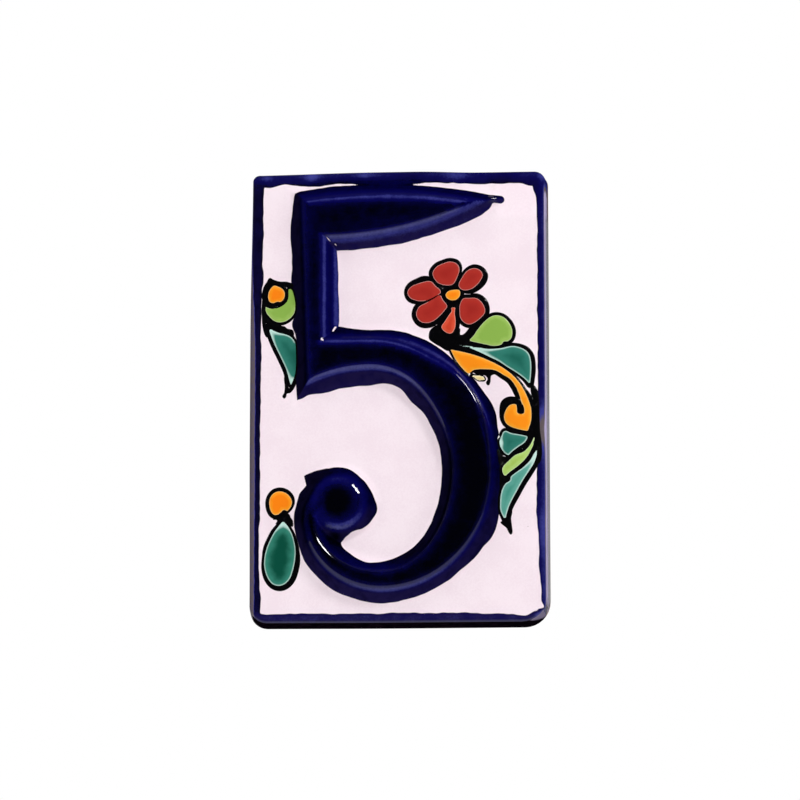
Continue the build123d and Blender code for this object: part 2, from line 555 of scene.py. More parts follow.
def border_thinness_and_sheen(x, z):
    """How thin the colour lies round the border, with a pale strip along the right rim's outer edge painted
    in as the sheen of that rim.
    """
    at_ends = eased(abs(z), half_height - 3.2, half_height - 2.0)
    thin_and_lit = 0.33 + 0.28 * at_ends - 0.14 * eased(-x, 30, 32) * (1 - at_ends) + dabbed(x, z, pale_spots)
    thin_and_lit += 0.29 * eased(x, half_width - 2.8, half_width - 1.2) + 0.1 * eased(x, 32, 33) * eased(-z, 10, 30)
    right_rim_sheen = eased(x, half_width - 1.0, half_width - 0.6)
    right_rim_sheen -= 0.5 * eased(x, half_width - 0.4, half_width - 0.2)
    return thin_and_lit + 1.6 * right_rim_sheen * (1 - eased(z, 48, 52))


def border_sheen_and_smear(x, z):
    """How much the border's blue is greyed violet: by painted sheen along the bottom, and by a smear on the
    right.
    """
    smeared = eased(x, 33.0, 34.0) * bell(z, -8.4, 6)
    return 0.2 + 0.6 * eased(-z, half_height - 3.0, half_height - 2.0) + 0.7 * smeared


def figure_thinness_and_light(x, z, outset, way):
    """How thin the colour lies on the figure, with light and shade painted in by the way each side faces:
    least on flats, darkest on sides that look left, palest over shoulders.
    """
    left, right, down = max(-way.x, 0), max(way.x, 0), max(-way.y, 0)
    up = max(way.y, 0) * eased(z, -30, 0)
    low_right = right * (1 - eased(z, -5, 20))
    on_stem = 1 - eased(x, -13, -9)
    on_knob = 1 - eased(from_knob(x, z), knob_radius, knob_radius + knob_margin)

    # The flats, which thin out a little up the stem, on the bar and towards the shoulders
    thin_and_lit = 0.07 * eased(z, -15, 5) + 0.06 * eased(z, 34, 42) + 0.06 * eased(outset, -3.5, -1.0)
    thin_and_lit += 0.05 * left * eased(outset, -4.0, -2.5) + 0.25 * on_knob * eased(outset, -3.4, -0.8)

    # The shoulders, where the colour runs thin; the pale band starts further in on sides that look up, as
    # painted light, and is weaker on sides that look left, as painted shade
    shoulder_low = -1.4 - 1.6 * up + 1.0 * low_right + 0.8 * down * eased(z, 10, 25)
    shoulder = eased(outset, shoulder_low, 0.5 + 0.6 * low_right)
    thin_and_lit += 0.32 * shoulder * (1 - 0.5 * left - 0.2 * low_right)

    # Painted highlights: pale lines along the shoulders on sides that look down, up and to the right, and a
    # painted sheen on the bowl's upper right
    crest = 1.05 - 0.3 * bell(z, 6, 12) - 0.8 * on_knob
    kept_dark = on_knob * max(min(1.6 * left, 1), 1 - eased(x, -18.5, -16.5))
    crest_highlight = (0.48 + 0.12 * eased(z, -30, 0)) * down * (1 - kept_dark)
    thin_and_lit += crest_highlight * bell(outset, crest, 0.65) + 0.42 * up * bell(outset, -0.5, 0.5)
    thin_and_lit += 0.4 * right * bell(outset, 0.7, 0.5) * eased(z, -10, 20)
    thin_and_lit += 0.7 * right * up * bell(outset, 1.6, 1.0) * (1 - eased(z, 12, 18))
    thin_and_lit += 0.3 * right * bell(outset, 1.5, 0.5) * bell(z, -4, 8)

    # The slopes below them: painted light beside the stem and under the bar, and painted shade on sides
    # that look left and in the valley
    thin_and_lit += 0.5 * right * eased(outset, 2.0, 3.2) * eased(z, 10, 18) * on_stem
    thin_and_lit += 0.2 * down * eased(outset, 1.2, 2.0) * eased(z, -20, 40)
    thin_and_lit -= (0.12 + 0.12 * up) * eased(outset, 0.9, 2.4) + 0.24 * left * eased(outset, 0.2, 1.2)
    return min(thin_and_lit - 0.3 * in_shaded_valley(x, z), thinnest)


def figure_painted_sheen(x, z, outset, way):
    """How much painted sheen greys the blue of the figure's slopes: most where they look down, and not in
    the valley.
    """
    facing = 0.85 * max(-way.y, 0) + 0.22 * max(-way.x, 0)
    return facing * eased(outset, 1.0, 1.9) * (1 - in_shaded_valley(x, z))


def dullness(x, z, outset, way):
    """How little the glaze shines: the figure's slopes are dull, but for a flick and one long glint."""
    shine_end = 0.1 + 0.6 * max(-way.y, 0)
    beside_glint = max(way.x, 0) * max(way.y, 0) * bell(outset, 0, 0.8) * (2.4 - 2.2 * bell(z, -3.0, 3.8))
    beside_glint *= eased(z, -20, -10) * (1 - eased(z, 12, 18))
    on_slope = max(eased(outset, shine_end, shine_end + 0.7), beside_glint) - eased(outset, 4.0, 4.6)
    on_slope *= 1 - bell(along_stroke(x, z, flick_start, flick_end), 0, flick_width)
    by_bar_tip = max(eased(x, 13, 16) * (1 - eased(x, 21.6, 22.2)), eased(x, 23.3, 23.8)) * eased(z, 42, 44)
    by_curl = bell(math.hypot(x - curl_bend[0], z - curl_bend[1]), 0, curl_bend_reach)
    return max(on_slope, by_bar_tip, by_curl)


depth_layer = tile.verts.layers.float.new("cobalt_depth")
thin_and_light_layer = tile.verts.layers.float.new("cobalt_thin_and_light")
sheen_and_smear_layer = tile.verts.layers.float.new("cobalt_sheen_and_smear")
dull_layer = tile.verts.layers.float.new("cobalt_dull")
for vert in tile.verts:
    x, z = vert.co.x, vert.co.z
    outset = side_outset(x, z)
    way = side_facing(x, z)
    on_border = eased(outset, 4.2, 5.4)
    on_figure = 1 - on_border
    vert[depth_layer] = paint_depth(x, z)
    vert[thin_and_light_layer] = border_thinness_and_sheen(x, z) * on_border + figure_thinness_and_light(x, z, outset, way) * on_figure
    vert[sheen_and_smear_layer] = border_sheen_and_smear(x, z) * on_border + figure_painted_sheen(x, z, outset, way) * on_figure
    vert[dull_layer] = dullness(x, z, outset, way)

# The blank isn't quite straight: its top drops a little at both ends and its left side leans in.
drop_left, drop_right = 0.4, 0.45
lean_high, lean_low = 0.45, 0.2
lift_left = 0.15
for vert in tile.verts:
    x, z = vert.co.x, vert.co.z
    by_side = eased(-x, 26, half_width)
    drop = (drop_left * eased(-x, 5, half_width) + drop_right * eased(x, 4, 20)) * eased(z, 44, half_height)
    vert.co.z += lift_left * eased(-x, 0, half_width) * eased(-z, 46, half_height) - drop
    vert.co.x += (lean_high * eased(z, 15, half_height) + lean_low * eased(-z, 10, 50)) * by_side


def socket_named(sockets, name):
    """Finds the socket in use that has the name."""
    return next(socket for socket in sockets if socket.name == name and socket.enabled)


class Wire:
    """A shader socket, so that the maths on it can be written as Python expressions."""

    def __init__(self, tree, socket=None):
        self.tree = tree
        self.socket = socket

    def node(self, kind, settings, inputs, output):
        """Adds a node, with its settings first, then its inputs, and gives the named output."""
        made = self.tree.nodes.new(kind)
        for name, value in settings.items():
            setattr(made, name, value)
        for name, value in inputs.items():
            if isinstance(name, int):
                socket = made.inputs[name]
            else:
                socket = socket_named(made.inputs, name)
            if isinstance(value, Wire):
                self.tree.links.new(value.socket, socket)
            else:
                socket.default_value = value
        return Wire(self.tree, socket_named(made.outputs, output)) if output else None

    def sum(self, operation, first, second):
        """Adds a Math node on two values."""
        return self.node("ShaderNodeMath", {"operation": operation}, {0: first, 1: second}, "Value")

    def __add__(self, other):
        return self.sum("ADD", self, other)

    def __radd__(self, other):
        return self.sum("ADD", other, self)

    def __sub__(self, other):
        return self.sum("SUBTRACT", self, other)

    def __rsub__(self, other):
        return self.sum("SUBTRACT", other, self)

    def __mul__(self, other):
        return self.sum("MULTIPLY", self, other)

    def __rmul__(self, other):
        return self.sum("MULTIPLY", other, self)


def new_material(name):
    """An empty material, a wire to build it with, and the place on the piece in millimetres."""
    material = bpy.data.materials.new(name)
    material.use_nodes = True
    material.node_tree.nodes.clear()
    wire = Wire(material.node_tree)
    place = wire.node("ShaderNodeVectorMath", {"operation": "SCALE"}, {
        "Vector": wire.node("ShaderNodeTexCoord", {}, {}, "Object"), "Scale": 1 / mm}, "Vector")
    return material, wire, place


def ramp(wire, value, low, high, bottom=0.0, top=1.0):
    """A smooth rise from bottom to top as the value goes from low to high."""
    return wire.node("ShaderNodeMapRange", {"interpolation_type": "SMOOTHSTEP"}, {
        "Value": value, "From Min": low, "From Max": high, "To Min": bottom, "To Max": top}, "Result")


def blend(wire, factor, first, second):
    """A mix of two colours."""
    return wire.node("ShaderNodeMix", {"data_type": "RGBA"}, {
        "Factor": factor, "A": first, "B": second}, "Result")


def grain(wire, place, size, detail=2.0):
    """Noise whose lumps are about the given size."""
    return wire.node("ShaderNodeTexNoise", {}, {
        "Vector": place, "Scale": 1 / size, "Detail": detail}, "Fac")


def along_axis(wire, place, axis):
    """How far the place lies along X, Y or Z."""
    return wire.node("ShaderNodeSeparateXYZ", {}, {"Vector": place}, axis)


def kept(wire, name):
    """What the vertices keep under a name."""
    return wire.node("ShaderNodeAttribute", {"attribute_name": name}, {}, "Fac")


def coat(wire, colour, roughness, height, lift, shine=0.5, dull=0.0):
    """Ends a material in a coat with the given colour, roughness, fine surface height in mm and shine."""
    normal = wire.node("ShaderNodeBump", {}, {
        "Height": height, "Distance": lift * mm, "Strength": 1.0}, "Normal")
    finish = {"Base Color": colour, "Roughness": roughness, "Normal": normal}
    shader = wire.node("ShaderNodeBsdfPrincipled", {}, finish | {"Specular IOR Level": shine}, "BSDF")
    if dull:
        plain = wire.node("ShaderNodeBsdfPrincipled", {}, finish | {"Specular IOR Level": 0.0}, "BSDF")
        shader = wire.node("ShaderNodeMixShader", {}, {0: dull, 1: shader, 2: plain}, "Shader")
    wire.node("ShaderNodeOutputMaterial", {}, {"Surface": shader}, None)


ground_white = (0.93, 0.805, 0.865, 1)
ground_shade = (0.89, 0.755, 0.82, 1)
speck_brown = (0.16, 0.09, 0.07, 1)
cobalt_thick = (0.0002, 0.0002, 0.0018, 1)
cobalt_slope = (0.0020, 0.0017, 0.072, 1)
cobalt_sheen_and_smear = (0.0125, 0.0088, 0.056, 1)
# The pale cobalt stands both for thin cobalt and for painted highlights; rim grey and rim pale are painted
# sheen on the rims.
cobalt_worn_and_highlight = (0.042, 0.045, 0.25, 1)
rim_grey = (0.12, 0.095, 0.105, 1)
rim_pale = (0.48, 0.41, 0.64, 1)
clay_warm = (0.46, 0.22, 0.12, 1)
clay_pale = (0.62, 0.38, 0.25, 1)
clay_dark = (0.30, 0.13, 0.075, 1)
# Painted shade colours for the underside, and a lilac for painted sheen at its right end.
underside_shade_black = (0.002, 0.001, 0.003, 1)
underside_shade_brown = (0.010, 0.005, 0.010, 1)
underside_sheen_lilac = (0.26, 0.22, 0.33, 1)

painted_glaze, wire, place = new_material("painted_glaze")
depth = kept(wire, "cobalt_depth")
thin_and_lit = kept(wire, "cobalt_thin_and_light")
sheen_and_smear = kept(wire, "cobalt_sheen_and_smear")
mottle = grain(wire, place, 9, 3.0)
blotch = grain(wire, place, 2.2, 4.0)
fleck = grain(wire, place, 0.45)
white = blend(wire, ramp(wire, 0.6 * mottle + 0.4 * fleck, 0.38, 0.62), ground_white, ground_shade)
speckle = wire.node("ShaderNodeTexVoronoi", {}, {"Vector": place, "Scale": 0.11}, "Distance")
white = blend(wire, ramp(wire, speckle, 0.018, 0.026, 0.7, 0.0), white, speck_brown)
# The tone mixes how thin the cobalt lies with painted light and shade: painted highlights and sheen along
# shoulders and rims, painted shade on sides that look left and in the valley.
tone = thin_and_lit + (blotch - 0.5) * 0.26 + (fleck - 0.5) * 0.22 - ramp(wire, depth, 0.1, 0.6, 0.12, 0.0)
# Painted sheen: a grey strip along the left rim's edge, ending towards the top.
left_rim_sheen_edge = along_axis(wire, place, "X") + (blotch - 0.5) * 0.5
left_rim_sheen_edge = left_rim_sheen_edge + ramp(wire, along_axis(wire, place, "Z"), 8, 36, 0.0, 0.9)
tone = tone + ramp(wire, left_rim_sheen_edge, -34.15, -33.75, 1.1, 0.0)
blue = blend(wire, ramp(wire, tone, 0.02, 0.6), cobalt_thick, cobalt_slope)
# Painted sheen: down-facing slopes and the border's bottom are greyed violet as a reflection from below; on
# the right border the same grey is a smear.
blue = blend(wire, sheen_and_smear * ramp(wire, blotch, 0.3, 0.6, 0.6, 1.1), blue, cobalt_sheen_and_smear)
blue = blend(wire, ramp(wire, tone, 0.55, 1.0), blue, cobalt_worn_and_highlight)
blue = blend(wire, ramp(wire, tone, 1.0, 1.35), blue, rim_grey)
blue = blend(wire, ramp(wire, tone, 1.5, 2.1), blue, rim_pale)
painted = ramp(wire, depth, -0.06, 0.06)
colour = blend(wire, painted, white, blue)
glaze_end = along_axis(wire, place, "Y") + (blotch - 0.5) * 1.6 + (mottle - 0.5) * 2.0
unglazed = ramp(wire, glaze_end, -1.5, -1.2)
colour = blend(wire, unglazed, colour, blend(wire, blotch, clay_warm, clay_pale))
peel = grain(wire, place, 1.6)
coat(wire, colour, 0.05 + 0.05 * blotch, peel, 0.02, dull=kept(wire, "cobalt_dull"))

# Painted shade: the underside is a rough near-black, turning pale lilac at its right end as painted sheen.
shaded_underside, wire, place = new_material("shaded_underside")
streak = grain(wire, place, 1.5, 3.0)
colour = blend(wire, ramp(wire, streak, 0.4, 0.75), underside_shade_black, underside_shade_brown)
underside_lilac_end = along_axis(wire, place, "X") - 0.55 * along_axis(wire, place, "Y") + (streak - 0.5) * 0.8
colour = blend(wire, ramp(wire, underside_lilac_end, 34.9, 35.8), colour, underside_sheen_lilac)
coat(wire, colour, 0.6 + 0.2 * streak, streak, 0.03, 0.0)

bare_clay, wire, place = new_material("bare_clay")
clouds = grain(wire, place, 14, 4.0)
grit = grain(wire, place, 0.7, 3.0)
colour = blend(wire, ramp(wire, clouds, 0.35, 0.7), clay_warm, clay_pale)
colour = blend(wire, ramp(wire, grit, 0.58, 0.7, 0.0, 0.6), colour, clay_dark)
coat(wire, colour, 0.75 + 0.15 * grit, grit, 0.08)


def finish_piece(shape, name, materials, sharp):
    """Turns a finished shape in millimetres into a piece of the tile, in metres."""
    bmesh.ops.scale(shape, vec=(mm, mm, mm), verts=shape.verts)
    mesh = bpy.data.meshes.new(name)
    for face in shape.faces:
        face.smooth = True
    shape.to_mesh(mesh)
    shape.free()
    mesh.set_sharp_from_angle(angle=math.radians(sharp))
    for material in materials:
        mesh.materials.append(material)
    piece = bpy.data.objects.new(name, mesh)
    bpy.context.scene.collection.objects.link(piece)
    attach(piece, "root")
    return piece


# The back and its broken edge stay bare, and the underside behind the rim's roll gets a nearly black glaze
# that is painted shade.
shade_start = rim_radius * 0.6
for face in tile.faces:
    centre = face.calc_center_median()
    if centre.y > -back_break or face.normal.y > 0.5:
        face.material_index = 1
    elif centre.y > face_y + shade_start and face.normal.z < -0.5:
        face.material_index = 2
tile_surface = BVHTree.FromBMesh(tile)
tile_piece = finish_piece(tile, "glazed_tile", (painted_glaze, bare_clay, shaded_underside), 50)
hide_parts("number_tile")

# Flower: five petals, an eye and a small bud under it, each a pool of coloured glaze inside a line
# drawn in black. The line keeps the colours apart, and each pool fires to a low dome.
outline_spacing = 0.2
pool_pitch = 0.34
pool_sink = 0.05
pool_edge = 0.12
pool_crown = 0.2
pool_reach = 0.9
line_edge = 0.02
line_height = 0.13
line_reach = 0.3
hairline = 0.42
above_tile = 5.0
ink_black = (0.0015, 0.0015, 0.002, 1)
ink_worn = (0.02, 0.017, 0.024, 1)


def smooth_outline(points, corners=()):
    """A smooth closed outline through points of (x, z, width of its black line), sharp at the corners."""
    count = len(points)
    outline = []
    for number in range(count):
        before, start, end, after = (Vector(points[(number + step) % count]) for step in (-1, 0, 1, 2))
        length = (end - start).length
        leave = Vector() if number in corners else (end - before).normalized() * length / 3
        arrive = Vector() if (number + 1) % count in corners else (after - start).normalized() * length / 3
        steps = max(2, math.ceil(length / outline_spacing))
        outline += interpolate_bezier(start, start + leave, end - arrive, end, steps + 1)[:-1]
    return outline


def line_outline(outline):
    """The outer edge of the black line drawn round an outline."""
    following = outline[1:] + outline[:1]
    turning = sum(point.x * after.y - after.x * point.y for point, after in zip(outline, following))
    outwards = math.copysign(1, turning)
    edge = []
    for before, point, after in zip(outline[-1:] + outline[:-1], outline, following):
        along = (after - before).to_2d().normalized()
        across = outwards * along.y * point.z
        down = outwards * along.x * point.z
        edge.append(Vector((point.x + across, point.y - down, 0)))
    return edge


def ground_y(x, z):
    """Depth of the tile's glazed surface at a place on the face."""
    return tile_surface.ray_cast(Vector((x, blank_low.y - above_tile, z)), Vector((0, 1, 0)))[0].y


def lay_glaze(shape, outline, edge_height, crown, reach, pale_ends):
    """Lays glaze on the tile inside an outline, rising from its edge to a low crown."""
    edge = nearest_tree([(point.x, point.y) for point in outline])
    drawn = [point for point in outline if point.z > hairline] or outline
    drawn_edge = nearest_tree([(point.x, point.y) for point in drawn])
    left, right = min(point.x for point in outline), max(point.x for point in outline)
    low, high = min(point.y for point in outline), max(point.y for point in outline)
    plan = [Vector((point.x, point.y)) for point in outline]
    pairs = [(number, (number + 1) % len(plan)) for number in range(len(plan))]
    for row in range(int((high - low) / pool_pitch) + 1):
        for column in range(int((right - left) / pool_pitch) + 1):
            place = Vector((left + (column + row % 2 / 2) * pool_pitch, low + row * pool_pitch))
            if edge.find((place.x, place.y, 0))[2] > pool_pitch / 2:
                plan.append(place)
    points, _, faces, _, _, _ = delaunay_2d_cdt(plan, pairs, [], 1, 1e-4)
    bottom = [shape.verts.new((x, ground_y(x, z) + pool_sink, z)) for x, z in points]
    sheet = [shape.faces.new([bottom[corner] for corner in corners]) for corners in faces]
    raised = bmesh.ops.extrude_face_region(shape, geom=sheet)["geom"]
    depth_layer = shape.verts.layers.float["pool_depth"]
    for vert in parts_of(raised, bmesh.types.BMVert):
        x, z = vert.co.x, vert.co.z
        inside = edge.find((x, z, 0))[2]
        vert.co.y = ground_y(x, z) - edge_height - crown * (1 - (1 - min(inside / reach, 1)) ** 2)
        depth = drawn_edge.find((x, z, 0))[2]
        for end_x, end_z, fade in pale_ends:
            depth *= eased(math.hypot(x - end_x, z - end_z), 0, fade)
        vert[depth_layer] = depth


def glaze_piece(name, material, outlines, pale_ends=(), edge_height=pool_edge, crown=pool_crown,
                reach=pool_reach):
    """One piece made of all the pools of one glaze in a sprig, thinned out towards the pale ends."""
    shape = bmesh.new()
    shape.verts.layers.float.new("pool_depth")
    for outline in outlines:
        lay_glaze(shape, outline, edge_height, crown, reach, pale_ends)
    loose = [vert for vert in shape.verts if not vert.link_faces]
    bmesh.ops.delete(shape, geom=loose, context="VERTS")
    bmesh.ops.recalc_face_normals(shape, faces=shape.faces)
    finish_piece(shape, name, (material,), 60)


def line_piece(name, outlines, strokes):
    """The black drawing of a sprig: a line round each pool, and free strokes."""
    edges = [line_outline(outline) for outline in outlines]
    edges += [smooth_outline([(x, z, 0) for x, z in stroke]) for stroke in strokes]
    glaze_piece(name, drawn_line, edges, (), line_edge, line_height, line_reach)


def pool_glaze(name, deep, middle, pale, full_depth, pale_width):
    """A coloured glaze that is pale where it thins out at its edge and deep where it lies thick."""
    material, wire, place = new_material(name)
    depth = kept(wire, "pool_depth")
    clouds = grain(wire, place, 1.8, 3.0)
    lying = depth + (clouds - 0.5) * 1.4
    colour = blend(wire, ramp(wire, lying, 0.2, full_depth), (*middle, 1), (*deep, 1))
    colour = blend(wire, ramp(wire, depth, 0.06, pale_width), (*pale, 1), colour)
    coat(wire, colour, 0.1 + 0.06 * clouds, grain(wire, place, 0.9), 0.015)
    return material


drawn_line, wire, place = new_material("drawn_line")
wear = grain(wire, place, 1.2, 3.0)
ink = blend(wire, ramp(wire, wear, 0.6, 0.8, 0.0, 0.35), ink_black, ink_worn)
coat(wire, ink, 0.12 + 0.08 * wear, grain(wire, place, 0.6), 0.015, 0.25)

red_glaze = pool_glaze("red_glaze", deep=(0.34, 0.021, 0.016), middle=(0.41, 0.030, 0.021),
                       pale=(0.80, 0.44, 0.40), full_depth=2.8, pale_width=0.24)
coral_glaze = pool_glaze("coral_glaze", deep=(0.57, 0.052, 0.022), middle=(0.68, 0.085, 0.040),
                         pale=(0.85, 0.45, 0.36), full_depth=1.2, pale_width=0.24)
orange_glaze = pool_glaze("orange_glaze", deep=(0.95, 0.225, 0.006), middle=(0.95, 0.33, 0.014),
                          pale=(0.93, 0.62, 0.25), full_depth=1.2, pale_width=0.26)

petals = (
    smooth_outline((
        (8.3, 29.2, 0.9), (9.2, 30.9, 0.9), (11.0, 31.8, 0.9), (12.6, 32.2, 0.85), (14.2, 31.6, 0.9),
        (14.85, 30.2, 0.6), (14.2, 28.0, 0.6), (13.2, 26.5, 0.6), (11.3, 26.3, 0.7), (9.4, 27.1, 0.8),
    )),
    smooth_outline((
        (14.5, 26.2, 0.6), (15.3, 28.2, 0.6), (16.6, 29.9, 0.7), (18.2, 30.5, 0.9), (19.7, 30.0, 1.0),
        (20.4, 28.8, 1.2), (20.0, 27.6, 1.4), (18.9, 26.2, 1.25), (17.4, 25.2, 1.0), (15.5, 25.1, 0.6),
    )),
    smooth_outline((
        (2.3, 24.9, 0.8), (3.2, 26.2, 1.1), (4.8, 26.9, 1.3), (6.5, 27.4, 1.4), (8.0, 27.4, 1.0),
        (9.2, 26.2, 0.8), (10.2, 25.3, 0.7), (10.3, 24.5, 0.5), (9.3, 23.8, 0.4), (7.5, 22.9, 0.4),
        (5.8, 22.5, 0.5), (4.0, 22.8, 0.9), (2.8, 23.5, 0.9),
    )),
    smooth_outline((
        (4.4, 19.8, 1.05), (5.1, 21.3, 1.0), (6.6, 22.1, 0.5), (8.6, 23.2, 0.4), (10.1, 24.0, 0.4),
        (10.9, 22.8, 0.7), (11.9, 21.3, 0.8), (11.2, 20.1, 0.8), (9.8, 18.6, 0.9), (8.5, 17.6, 1.1),
        (7.2, 17.2, 1.2), (5.7, 17.4, 1.2), (4.6, 18.5, 1.1),
    )),
    smooth_outline((
        (14.8, 21.6, 0.7), (15.6, 23.1, 0.8), (17.2, 23.25, 0.9), (18.7, 23.2, 1.15), (20.0, 22.3, 1.3),
        (20.8, 20.9, 1.15), (20.9, 19.6, 1.0), (20.1, 18.5, 0.9), (18.8, 17.4, 0.8), (17.2, 16.7, 0.8),
        (15.8, 17.2, 0.8), (14.9, 18.4, 0.7), (14.7, 20.1, 0.7),
    )),
)
flower_eye = smooth_outline((
    (11.4, 23.9, 0.9), (12.0, 24.9, 0.9), (13.3, 25.3, 0.9), (14.7, 25.2, 0.9), (15.05, 24.3, 0.9),
    (14.5, 23.1, 0.9), (13.4, 22.6, 1.0), (12.1, 22.9, 1.0),
))
flower_bud = smooth_outline((
    (12.6, 21.0, 0.8), (13.9, 21.0, 0.8), (13.7, 19.7, 0.9), (13.9, 17.6, 1.0), (13.7, 15.8, 0.9),
    (12.8, 14.6, 0.9), (11.4, 14.9, 1.0), (10.4, 16.2, 1.1), (11.2, 17.6, 1.1), (12.3, 19.3, 0.9),
    (12.8, 20.1, 0.7),
), corners=(0, 1))
flower_heart = (
    (10.2, 24.3), (11.2, 25.9), (13.5, 26.6), (15.4, 25.6), (15.6, 23.6), (14.6, 21.6), (12.8, 20.9),
    (11.3, 22.0),
)
flower_stalk = (
    (7.8, 15.6), (7.4, 14.3), (7.6, 13.2), (8.6, 12.4), (10.2, 11.4), (12.1, 10.4), (14.0, 11.6),
    (16.4, 12.6), (18.3, 14.6), (19.9, 17.0), (21.0, 18.6), (19.4, 17.9), (17.4, 17.2), (17.0, 15.9),
    (15.1, 14.3), (14.8, 15.9), (13.6, 15.4), (12.5, 15.0), (10.5, 16.8), (9.4, 16.8),
)
glaze_piece("flower_petals", red_glaze, petals)
glaze_piece("flower_eye", orange_glaze, (flower_eye,))
glaze_piece("flower_bud", coral_glaze, (flower_bud,))
line_piece("flower_lines", petals + (flower_eye, flower_bud), (flower_heart, flower_stalk))

# Spray on the right: a light green leaf, a long teal leaf and an orange scroll that hooks round at its
# end, with three small leaves below. Same glazes and drawn lines as the flower.
green_glaze = pool_glaze("green_glaze", deep=(0.25, 0.43, 0.075), middle=(0.33, 0.52, 0.11),
                         pale=(0.66, 0.75, 0.45), full_depth=1.4, pale_width=0.26)
leaf_glaze = pool_glaze("leaf_glaze", deep=(0.011, 0.115, 0.085), middle=(0.032, 0.20, 0.155),
                        pale=(0.52, 0.74, 0.67), full_depth=3.2, pale_width=0.5)
lime_glaze = pool_glaze("lime_glaze", deep=(0.36, 0.54, 0.10), middle=(0.43, 0.64, 0.17),
                        pale=(0.66, 0.78, 0.48), full_depth=1.4, pale_width=0.26)
amber_glaze = pool_glaze("amber_glaze", deep=(0.95, 0.275, 0.009), middle=(0.95, 0.36, 0.02),
                         pale=(0.93, 0.64, 0.27), full_depth=1.2, pale_width=0.26)
mint_glaze = pool_glaze("mint_glaze", deep=(0.03, 0.24, 0.18), middle=(0.11, 0.37, 0.30),
                        pale=(0.56, 0.76, 0.70), full_depth=2.8, pale_width=0.5)
straw_glaze = pool_glaze("straw_glaze", deep=(0.84, 0.62, 0.20), middle=(0.86, 0.70, 0.32),
                         pale=(0.86, 0.78, 0.55), full_depth=0.8, pale_width=0.26)

round_leaf = smooth_outline((
    (16.75, 12.8, 0.5), (17.9, 13.9, 0.8), (19.1, 15.6, 0.9), (20.4, 17.2, 0.9), (21.8, 18.4, 0.8),
    (23.3, 18.95, 0.75), (25.0, 18.6, 0.75), (26.3, 17.5, 0.8), (27.2, 15.9, 0.8), (27.4, 14.4, 0.8),
    (27.0, 13.1, 0.8), (26.2, 12.5, 0.8), (25.3, 12.4, 0.7), (24.7, 11.7, 0.6), (23.0, 11.4, 0.6),
    (20.9, 11.8, 0.6), (18.8, 12.3, 0.6),
), corners=(0,))
long_leaf = smooth_outline((
    (14.9, 11.75, 0.2), (16.5, 11.55, 0.2), (18.0, 11.35, 0.25), (20.0, 11.05, 0.4), (22.0, 10.8, 0.6),
    (24.8, 11.0, 0.7), (27.2, 11.45, 0.75), (29.1, 11.1, 0.85), (30.7, 10.2, 0.95), (31.6, 8.7, 1.0),
    (31.85, 5.6, 1.0), (31.5, 2.0, 0.9), (29.9, 3.6, 0.6), (27.9, 5.1, 0.6), (25.9, 6.4, 0.6),
    (24.0, 7.7, 0.6), (22.0, 8.7, 0.6), (19.2, 10.1, 0.6), (16.9, 11.1, 0.4),
), corners=(0, 11))
scroll = smooth_outline((
    (12.5, 10.85, 0.45), (14.05, 10.5, 0.5), (16.45, 9.95, 0.5), (19.2, 9.1, 0.5), (22.0, 7.9, 0.5),
    (24.4, 6.65, 0.5), (26.7, 5.0, 0.5), (28.7, 2.95, 0.5), (30.1, 0.75, 0.6), (31.1, -1.5, 1.2),
    (31.7, -3.5, 1.6), (31.85, -5.5, 1.6), (31.6, -7.3, 1.4), (30.9, -9.2, 0.9), (29.4, -8.95, 0.6),
    (27.2, -8.3, 0.7), (25.8, -7.4, 0.8), (25.25, -6.2, 0.9), (25.3, -4.9, 1.2), (26.1, -3.3, 2.0),
    (26.9, -2.7, 2.0), (28.1, -2.65, 1.5), (28.4, -3.6, 0.6), (28.5, -4.7, 0.5), (29.2, -5.0, 0.4),
    (29.9, -4.8, 0.5), (30.0, -3.8, 0.6), (29.45, -2.3, 0.8), (29.1, -1.3, 0.9), (28.7, 0.0, 1.1),
    (27.9, 1.75, 1.15), (26.7, 3.35, 1.1), (25.1, 4.4, 1.0), (23.2, 5.5, 0.9), (20.8, 5.8, 1.0),
    (18.4, 5.7, 0.6), (17.5, 5.2, 0.4), (17.1, 4.6, 0.5), (15.6, 5.8, 0.5), (14.05, 7.75, 0.5),
    (13.05, 9.6, 0.5),
), corners=(0, 13))
scroll_glint = smooth_outline((
    (17.6, 4.5, 0.3), (18.6, 4.35, 0.3), (19.8, 4.3, 0.3), (20.6, 3.9, 0.3), (20.7, 3.3, 0.3),
    (19.9, 3.15, 0.25), (19.1, 3.2, 0.2), (18.3, 3.8, 0.2),
))
small_leaf = smooth_outline((
    (25.4, -9.05, 0.7), (27.0, -9.55, 0.7), (29.2, -9.95, 0.7), (31.0, -10.4, 0.8), (30.3, -11.8, 0.8),
    (28.5, -13.1, 0.8), (27.2, -14.1, 0.8), (26.25, -15.1, 0.8), (25.1, -14.2, 0.6), (24.35, -12.9, 0.5),
    (24.15, -11.7, 0.5), (24.5, -10.5, 0.6),
), corners=(3, 7))
blade = smooth_outline((
    (32.7, -9.6, 0.8), (32.1, -11.0, 0.7), (31.2, -12.7, 0.7), (29.9, -14.0, 0.7), (27.8, -14.9, 0.7),
    (26.2, -16.3, 0.7), (25.05, -17.5, 0.6), (24.75, -18.8, 0.6), (25.4, -20.1, 0.8), (26.6, -19.0, 0.8),
    (28.6, -17.5, 0.8), (30.2, -16.0, 0.8), (31.3, -14.4, 0.8), (32.2, -12.5, 0.8),
), corners=(0, 8))
